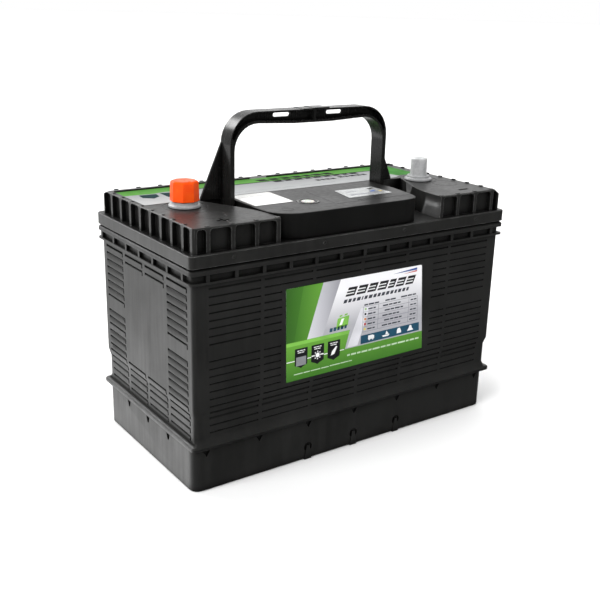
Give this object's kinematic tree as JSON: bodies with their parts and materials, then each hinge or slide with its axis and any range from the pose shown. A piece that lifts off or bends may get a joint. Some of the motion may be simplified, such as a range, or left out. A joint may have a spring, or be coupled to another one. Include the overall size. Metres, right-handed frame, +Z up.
{
  "type": "deep cycle battery",
  "caption": "Rectangular lead-acid deep cycle battery: ribbed moulded case with a base ledge, sealed lid, round posts, post cap and a hinged strap handle.",
  "frame": {"origin": "centre of the case's footprint, at the underside of the base", "axes": "+X along the length towards the negative post, labelled long side facing -Y, +Z up"},
  "size_m": [0.33, 0.173, 0.2934],
  "materials": {
    "case_plastic": "satin",
    "lid_plastic": "satin",
    "handle_plastic": "satin",
    "cap_plastic": "gloss",
    "lead": "satin",
    "positive_plate": "matte",
    "negative_plate": "matte",
    "separator": "matte",
    "valve_rubber": "matte",
    "label_film": "satin",
    "sticker_paper": "satin",
    "seal_film": "gloss",
    "disc_plastic": "satin"
  },
  "bodies": {
    "battery": {"case": "case_plastic", "lid": "lid_plastic", "vent_cover": "lid_plastic", "positive_bushing": "lead", "negative_bushing": "lead", "positive_post": "lead", "negative_post": "lead", "cell_link_1": "lead", "cell_link_2": "lead", "cell_link_3": "lead", "cell_link_4": "lead", "cell_link_5": "lead", "positive_plates_1": "positive_plate", "positive_plates_2": "positive_plate", "positive_plates_3": "positive_plate", "positive_plates_4": "positive_plate", "positive_plates_5": "positive_plate", "positive_plates_6": "positive_plate", "negative_plates_1": "negative_plate", "negative_plates_2": "negative_plate", "negative_plates_3": "negative_plate", "negative_plates_4": "negative_plate", "negative_plates_5": "negative_plate", "negative_plates_6": "negative_plate", "separators_1": "separator", "separators_2": "separator", "separators_3": "separator", "separators_4": "separator", "separators_5": "separator", "separators_6": "separator", "vent_valve_1": "valve_rubber", "vent_valve_2": "valve_rubber", "vent_valve_3": "valve_rubber", "vent_valve_4": "valve_rubber", "vent_valve_5": "valve_rubber", "vent_valve_6": "valve_rubber", "front_label": "label_film", "deck_label": "label_film", "cover_sticker": "sticker_paper", "seal_sticker": "seal_film", "vent_disc": "disc_plastic"},
    "handle": {"handle": "handle_plastic"},
    "cap": {"positive_cap": "cap_plastic"}
  },
  "joints": [
    {"name": "handle_swing", "type": "hinge", "parent": "battery", "child": "handle", "pos_m": [-0.00785, -0.0095, 0.2085], "axis": [1, 0, 0], "range_deg": [-6, 55]},
    {"name": "cap_pull", "type": "slide", "parent": "battery", "child": "cap", "axis": [0, 0, 1], "range_m": [0, 0.03]}
  ]
}
